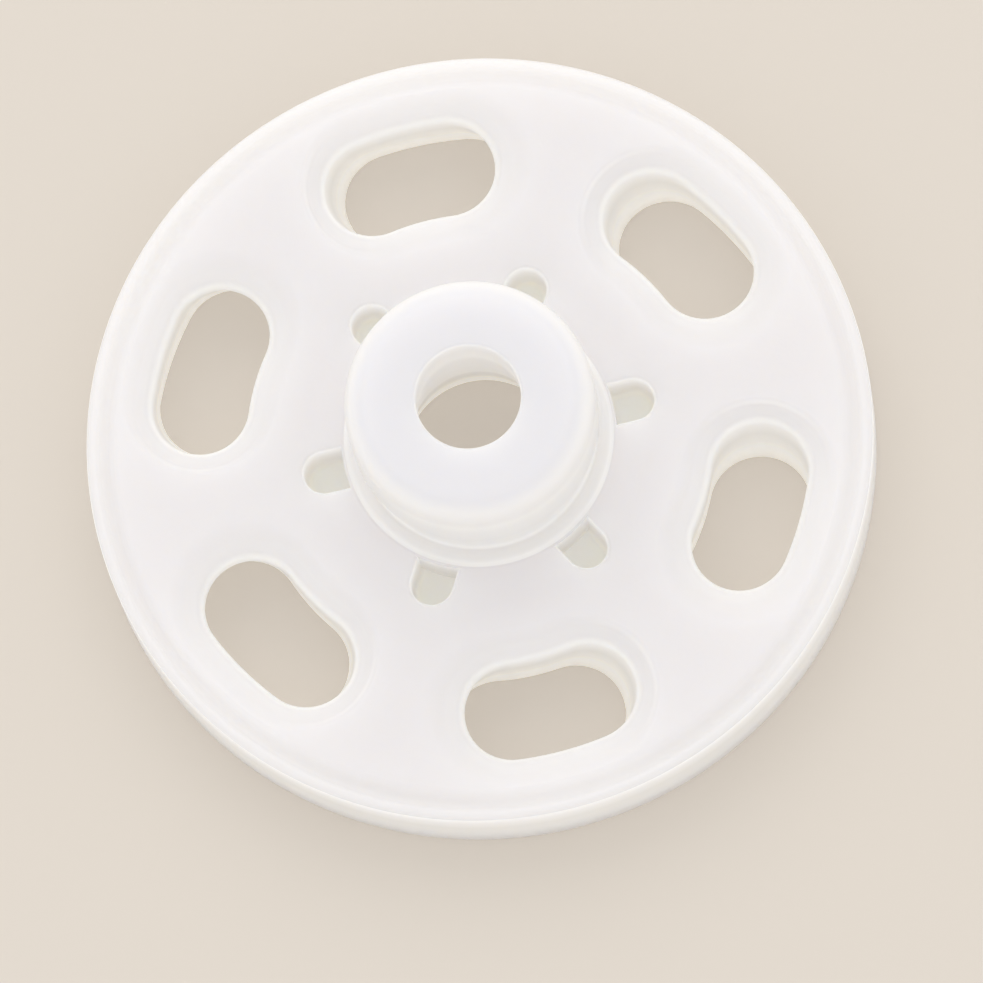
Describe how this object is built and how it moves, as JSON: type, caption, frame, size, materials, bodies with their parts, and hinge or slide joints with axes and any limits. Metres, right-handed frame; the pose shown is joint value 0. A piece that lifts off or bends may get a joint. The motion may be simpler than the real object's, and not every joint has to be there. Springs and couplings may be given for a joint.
{
  "type": "sew-on snap fastener stud half",
  "caption": "Translucent white plastic sew-on snap fastener, stud half: round flange with sewing slots round a hollow, undercut stud.",
  "frame": {"origin": "centre of the flat back, on the surface that the part lies on", "axes": "+Z along the stud's axis, from the back out through the stud; +X through the middle of one sewing slot"},
  "size_m": [0.02, 0.02, 0.0062],
  "materials": {
    "clear_plastic": "satin, milky translucent moulded plastic"
  },
  "bodies": {
    "root": {"stud_half": "clear_plastic"}
  },
  "joints": []
}
